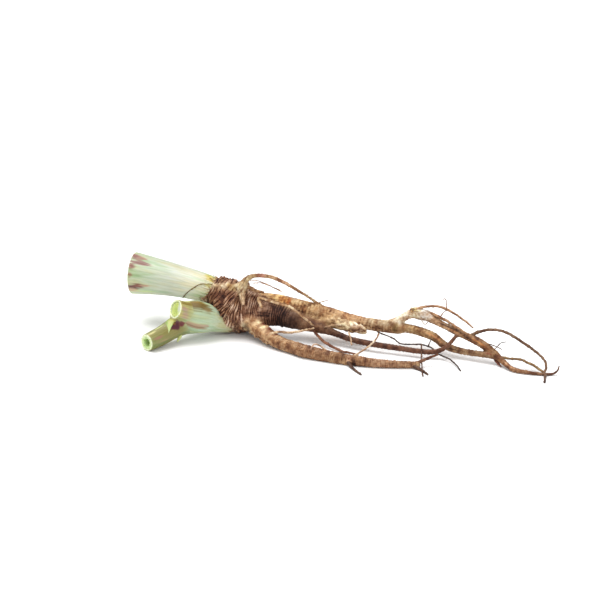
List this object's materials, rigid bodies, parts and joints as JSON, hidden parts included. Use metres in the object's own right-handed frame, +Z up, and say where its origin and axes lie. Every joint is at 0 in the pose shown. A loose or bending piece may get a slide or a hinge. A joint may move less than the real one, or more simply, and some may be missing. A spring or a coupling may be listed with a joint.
{
  "type": "dong quai root",
  "caption": "Fresh dong quai root lying on its side: ringed crown, cut leaf-base shoots, short body and long branching roots.",
  "frame": {"origin": "on the ground, under the middle of the whole root as it lies", "axes": "+X from the cut shoots to the root tips, +Y to the back, +Z up"},
  "size_m": [0.2658, 0.1339, 0.0454],
  "materials": {
    "root_bark": "fresh brown cork, ringed and rough on the crown, smoother and golden on the branches",
    "leaf_sheath": "fresh leaf base, pale mint to white with faint ribs and wine-red streaks, satin",
    "leaf_core": "cut young leaf stalk, yellow-green, moist"
  },
  "bodies": {
    "root": {"branched_root": "root_bark", "upper_outer_leaf_base": "leaf_sheath", "upper_inner_leaf_base": "leaf_sheath", "upper_heart_leaf": "leaf_core", "lower_outer_leaf_base": "leaf_sheath", "lower_inner_leaf_base": "leaf_core"}
  },
  "joints": []
}
